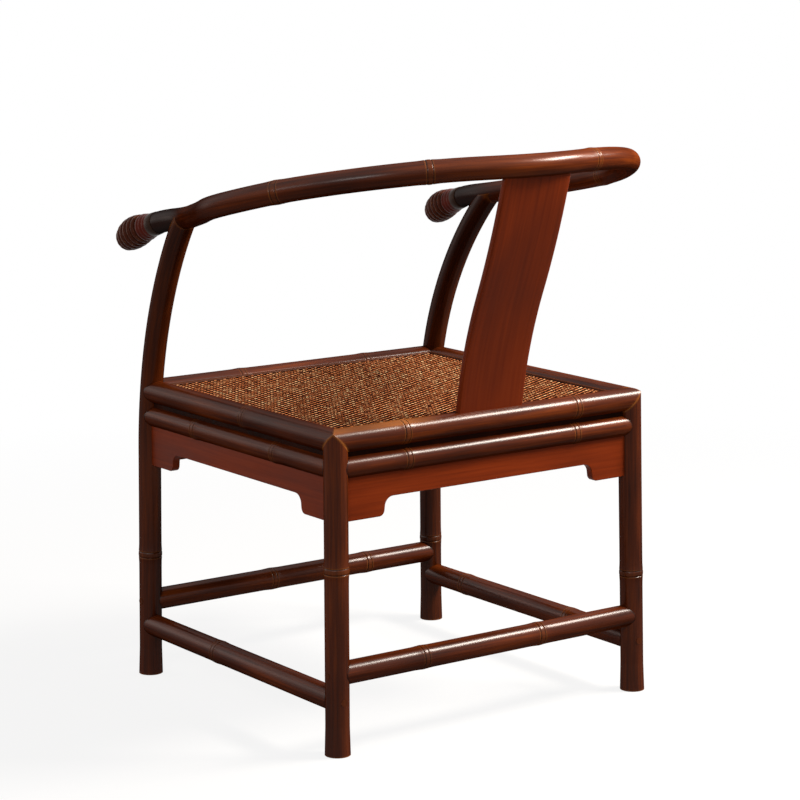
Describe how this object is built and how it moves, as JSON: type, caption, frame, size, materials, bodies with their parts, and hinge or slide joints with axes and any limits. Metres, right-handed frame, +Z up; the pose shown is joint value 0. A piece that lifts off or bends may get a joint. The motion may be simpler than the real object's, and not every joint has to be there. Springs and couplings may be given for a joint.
{
  "type": "bamboo armchair",
  "caption": "Low-backed armchair of lacquered bamboo poles with a horseshoe arm rail, a flat bent splat, a woven seat, shaped aprons and cane-wound finials",
  "frame": {"origin": "on the floor under the middle of the overall box", "axes": "+Z is up, +X is the sitter's left, and the chair faces -Y"},
  "size_m": [0.7184, 0.6513, 0.8222],
  "materials": {
    "lacquered_bamboo": "bamboo poles under a glossy red-brown lacquer",
    "lacquered_board": "flat boards under the same lacquer, with fine grain",
    "turned_finial": "turned wood, lacquered",
    "wound_cane": "wound cane, lacquered, with worn golden ridges",
    "woven_mat": "woven split cane, satin",
    "plain_wood": "bare planed wood",
    "cane_edging": "flat split cane, satin",
    "joinery_wood": "bamboo pegs, with lacquered ends"
  },
  "bodies": {
    "root": {"apron_back": "lacquered_board", "apron_front": "lacquered_board", "apron_left": "lacquered_board", "apron_right": "lacquered_board", "back_left_leg": "lacquered_bamboo", "back_right_leg": "lacquered_bamboo", "back_splat": "lacquered_board", "cane_wrap_left": "wound_cane", "cane_wrap_right": "wound_cane", "corner_pins": "joinery_wood", "finial_left": "turned_finial", "finial_right": "turned_finial", "front_left_post": "lacquered_bamboo", "front_right_post": "lacquered_bamboo", "horseshoe_rail": "lacquered_bamboo", "lower_rail_back": "lacquered_bamboo", "lower_rail_front": "lacquered_bamboo", "lower_rail_left": "lacquered_bamboo", "lower_rail_right": "lacquered_bamboo", "post_dowels": "joinery_wood", "rail_dowels": "joinery_wood", "rail_filler_back": "lacquered_board", "rail_filler_front": "lacquered_board", "rail_filler_left": "lacquered_board", "rail_filler_right": "lacquered_board", "seat_batten_left": "plain_wood", "seat_batten_right": "plain_wood", "seat_deck": "plain_wood", "seat_edging_back": "cane_edging", "seat_edging_front": "cane_edging", "seat_edging_left": "cane_edging", "seat_edging_right": "cane_edging", "seat_mat": "woven_mat", "stretcher_back": "lacquered_bamboo", "stretcher_front": "lacquered_bamboo", "stretcher_left": "lacquered_bamboo", "stretcher_pegs": "joinery_wood", "stretcher_right": "lacquered_bamboo", "upper_rail_back": "lacquered_bamboo", "upper_rail_front": "lacquered_bamboo", "upper_rail_left": "lacquered_bamboo", "upper_rail_right": "lacquered_bamboo"}
  },
  "joints": []
}
